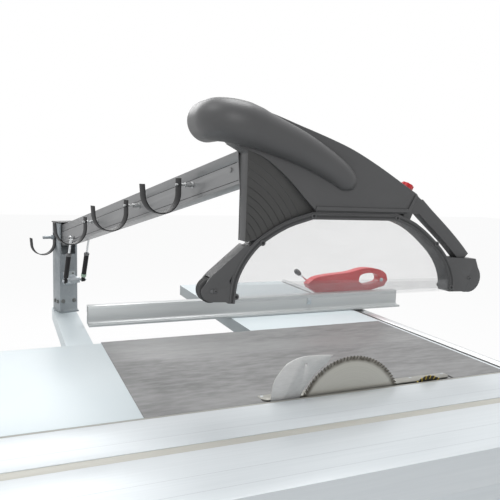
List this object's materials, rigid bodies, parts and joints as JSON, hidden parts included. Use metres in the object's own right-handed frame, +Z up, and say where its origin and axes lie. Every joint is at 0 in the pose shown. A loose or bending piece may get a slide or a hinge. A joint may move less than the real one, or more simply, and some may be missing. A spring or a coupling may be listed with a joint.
{
  "type": "panel saw",
  "caption": "Sliding-table panel saw with a tilting blade unit, scoring blade, rip fence and an overhead guard carried on a lifting arm.",
  "frame": {"origin": "on the floor, below the point where the blade's plane crosses the vertical line through its centre", "axes": "+X along the cut towards the operator, +Y from the blade towards the rip fence, +Z up"},
  "size_m": [3.2, 1.985, 1.5855],
  "materials": {
    "plinth": "black",
    "cabinet": "satin powder coat",
    "dust_outlet": "zinc plated",
    "control_panel": "fine grain",
    "main_table": "ground",
    "table_insert": "ground",
    "rear_extension_table": "satin powder coat",
    "right_extension_table": "satin powder coat",
    "extension_brace": "satin powder coat",
    "slide_beam": "anodised",
    "beam_bracket": "satin powder coat",
    "front_trunnion": "ground",
    "rear_trunnion": "ground",
    "rip_rail": "polished",
    "rail_mount": "anodised",
    "post_tube": "satin powder coat",
    "outrigger_bracket": "satin powder coat",
    "guard_post": "zinc plated",
    "post_cap": "black",
    "spring_bracket": "zinc plated",
    "hose_hook_d": "black",
    "service_door": "satin powder coat",
    "start_button": "satin",
    "stop_button": "satin",
    "height_handwheel": "fine grain",
    "tilt_handwheel": "fine grain",
    "tilt_frame": "ground",
    "scoring_motor": "satin",
    "scoring_shaft": "ground",
    "scoring_blade": "ground",
    "arbor_housing": "ground",
    "main_motor": "satin",
    "drive_belt": "matt",
    "riving_knife": "ground",
    "arbor_shaft": "ground",
    "arbor_nut": "black",
    "main_blade": "ground",
    "motor_pulley": "ground",
    "sliding_table": "anodised",
    "fence_carrier": "semi-gloss",
    "fence_profile": "anodised",
    "fence_lever": "ground",
    "arm_beam": "grey anodised",
    "hose_hook_a": "black",
    "hose_hook_b": "black",
    "hose_hook_c": "black",
    "tie_rod": "ground",
    "guard_body": "fine grain",
    "guard_cover": "fine grain",
    "hood_frame": "fine grain",
    "shield_near": "clear sheet",
    "shield_far": "clear sheet",
    "guard_handle": "fine grain",
    "guard_knob": "satin",
    "front_roller": "fine grain",
    "rear_roller": "fine grain",
    "spring_cylinder_left": "black",
    "spring_cylinder_right": "black",
    "spring_rod_left": "polished",
    "spring_rod_right": "polished"
  },
  "bodies": {
    "base": {"plinth": "plinth", "cabinet": "cabinet", "dust_outlet": "dust_outlet", "control_panel": "control_panel", "main_table": "main_table", "table_insert": "table_insert", "rear_extension_table": "rear_extension_table", "right_extension_table": "right_extension_table", "extension_brace": "extension_brace", "slide_beam": "slide_beam", "beam_bracket": "beam_bracket", "front_trunnion": "front_trunnion", "rear_trunnion": "rear_trunnion", "rip_rail": "rip_rail", "rail_mount": "rail_mount", "post_tube": "post_tube", "outrigger_bracket": "outrigger_bracket", "guard_post": "guard_post", "post_cap": "post_cap", "spring_bracket": "spring_bracket", "hose_hook_d": "hose_hook_d"},
    "door": {"service_door": "service_door"},
    "start": {"start_button": "start_button"},
    "stop": {"stop_button": "stop_button"},
    "height_wheel": {"height_handwheel": "height_handwheel"},
    "tilt_wheel": {"tilt_handwheel": "tilt_handwheel"},
    "tilt_unit": {"tilt_frame": "tilt_frame", "scoring_motor": "scoring_motor"},
    "scoring_spindle": {"scoring_shaft": "scoring_shaft", "scoring_blade": "scoring_blade"},
    "arbor_unit": {"arbor_housing": "arbor_housing", "main_motor": "main_motor", "drive_belt": "drive_belt", "riving_knife": "riving_knife"},
    "arbor": {"arbor_shaft": "arbor_shaft", "arbor_nut": "arbor_nut", "main_blade": "main_blade"},
    "motor_shaft": {"motor_pulley": "motor_pulley"},
    "slide": {"sliding_table": "sliding_table"},
    "rip_carrier": {"fence_carrier": "fence_carrier"},
    "rip_fence": {"fence_profile": "fence_profile"},
    "clamp_lever": {"fence_lever": "fence_lever"},
    "guard_arm": {"arm_beam": "arm_beam", "hose_hook_a": "hose_hook_a", "hose_hook_b": "hose_hook_b", "hose_hook_c": "hose_hook_c"},
    "level_rod": {"tie_rod": "tie_rod"},
    "guard": {"guard_body": "guard_body", "guard_cover": "guard_cover", "hood_frame": "hood_frame", "shield_near": "shield_near", "shield_far": "shield_far", "guard_handle": "guard_handle"},
    "knob": {"guard_knob": "guard_knob"},
    "roller_front": {"front_roller": "front_roller"},
    "roller_rear": {"rear_roller": "rear_roller"},
    "cylinder_left": {"spring_cylinder_left": "spring_cylinder_left"},
    "cylinder_right": {"spring_cylinder_right": "spring_cylinder_right"},
    "rod_left": {"spring_rod_left": "spring_rod_left"},
    "rod_right": {"spring_rod_right": "spring_rod_right"}
  },
  "joints": [
    {"name": "service_door_hinge", "type": "hinge", "parent": "base", "child": "door", "pos_m": [-0.5533, 0.432, 0.425], "axis": [0, 0, -1], "range_deg": [0, 110]},
    {"name": "start_press", "type": "slide", "parent": "base", "child": "start", "axis": [-1, 0, 0], "range_m": [0, 0.004], "stiffness_N_per_m": 400},
    {"name": "stop_press", "type": "slide", "parent": "base", "child": "stop", "axis": [-1, 0, 0], "range_m": [0, 0.004], "stiffness_N_per_m": 400},
    {"name": "height_wheel_turn", "type": "hinge", "parent": "base", "child": "height_wheel", "pos_m": [0.558, -0.06, 0.57], "axis": [1, 0, 0], "range_deg": [-1082, 2]},
    {"name": "tilt_wheel_turn", "type": "hinge", "parent": "base", "child": "tilt_wheel", "pos_m": [0.558, 0.2, 0.57], "axis": [1, 0, 0], "range_deg": [-2, 1082]},
    {"name": "blade_tilt", "type": "hinge", "parent": "base", "child": "tilt_unit", "pos_m": [0, 0, 0.87], "axis": [-1, 0, 0], "range_deg": [0, 45]},
    {"name": "blade_height", "type": "slide", "parent": "tilt_unit", "child": "arbor_unit", "axis": [0, 0, 1], "range_m": [-0.105, 0]},
    {"name": "blade_spin", "type": "hinge", "parent": "arbor_unit", "child": "arbor", "pos_m": [0, 0, 0.8035], "axis": [0, 1, 0], "continuous": true},
    {"name": "motor_spin", "type": "hinge", "parent": "arbor_unit", "child": "motor_shaft", "pos_m": [0, 0.18, 0.6], "axis": [0, 1, 0], "continuous": true},
    {"name": "scoring_spin", "type": "hinge", "parent": "tilt_unit", "child": "scoring_spindle", "pos_m": [0.25, 0, 0.823], "axis": [0, 1, 0], "continuous": true},
    {"name": "table_slide", "type": "slide", "parent": "base", "child": "slide", "axis": [1, 0, 0], "range_m": [-1.1, 1.1]},
    {"name": "fence_travel", "type": "slide", "parent": "base", "child": "rip_carrier", "axis": [0, 1, 0], "range_m": [-0.765, 0.19]},
    {"name": "fence_slide", "type": "slide", "parent": "rip_carrier", "child": "rip_fence", "axis": [1, 0, 0], "range_m": [-0.1, 0.35]},
    {"name": "fence_lever_turn", "type": "hinge", "parent": "rip_carrier", "child": "clamp_lever", "pos_m": [0.372, 0.9203, 0.976], "axis": [0, 1, 0], "range_deg": [0, 80]},
    {"name": "arm_lift", "type": "hinge", "parent": "base", "child": "guard_arm", "pos_m": [-0.6085, 1.15, 1.158], "axis": [-0.9587, -0.2843, 0], "range_deg": [-12, 0]},
    {"name": "guard_level", "type": "hinge", "parent": "guard_arm", "child": "guard", "pos_m": [-0.2942, 0.09, 1.4243], "axis": [-0.9587, -0.2843, 0], "range_deg": [-0.1, 12.1]},
    {"name": "tie_rod_swing", "type": "hinge", "parent": "base", "child": "level_rod", "pos_m": [-0.6085, 1.15, 1.136], "axis": [-0.9587, -0.2843, 0], "range_deg": [-12.1, 0.1]},
    {"name": "knob_turn", "type": "hinge", "parent": "guard", "child": "knob", "pos_m": [0.15056, 0.0235, 1.39178], "axis": [0.4813, 0, 0.8766], "continuous": true},
    {"name": "front_roller_spin", "type": "hinge", "parent": "guard", "child": "roller_front", "pos_m": [0.366, 0.0235, 1.151], "axis": [0, 1, 0], "continuous": true},
    {"name": "rear_roller_spin", "type": "hinge", "parent": "guard", "child": "roller_rear", "pos_m": [-0.387, 0.0235, 1.147], "axis": [0, 1, 0], "continuous": true},
    {"name": "spring_left_swing", "type": "hinge", "parent": "base", "child": "cylinder_left", "pos_m": [-0.61278, 1.0413, 1.001], "axis": [-0.9587, -0.2843, 0], "range_deg": [-3.8, 0.1]},
    {"name": "spring_left_stroke", "type": "slide", "parent": "cylinder_left", "child": "rod_left", "axis": [0.088, -0.2967, 0.9509], "range_m": [-0.0325, 0.0005]},
    {"name": "spring_right_swing", "type": "hinge", "parent": "base", "child": "cylinder_right", "pos_m": [-0.54566, 1.0612, 1.001], "axis": [-0.9587, -0.2843, 0], "range_deg": [-3.8, 0.1]},
    {"name": "spring_right_stroke", "type": "slide", "parent": "cylinder_right", "child": "rod_right", "axis": [0.088, -0.2967, 0.9509], "range_m": [-0.0325, 0.0005]}
  ],
  "couplings": [
    {"joint": "height_wheel_turn", "follows": "blade_height", "rad_per_m": 179.5},
    {"joint": "tilt_wheel_turn", "follows": "blade_tilt", "ratio": 24},
    {"joint": "motor_spin", "follows": "blade_spin", "ratio": 1},
    {"joint": "guard_level", "follows": "arm_lift", "ratio": -1},
    {"joint": "tie_rod_swing", "follows": "arm_lift", "ratio": 1},
    {"joint": "spring_left_swing", "follows": "arm_lift", "ratio": 0.306},
    {"joint": "spring_left_stroke", "follows": "arm_lift", "m_per_rad": 0.15},
    {"joint": "spring_right_swing", "follows": "arm_lift", "ratio": 0.306},
    {"joint": "spring_right_stroke", "follows": "arm_lift", "m_per_rad": 0.15}
  ]
}
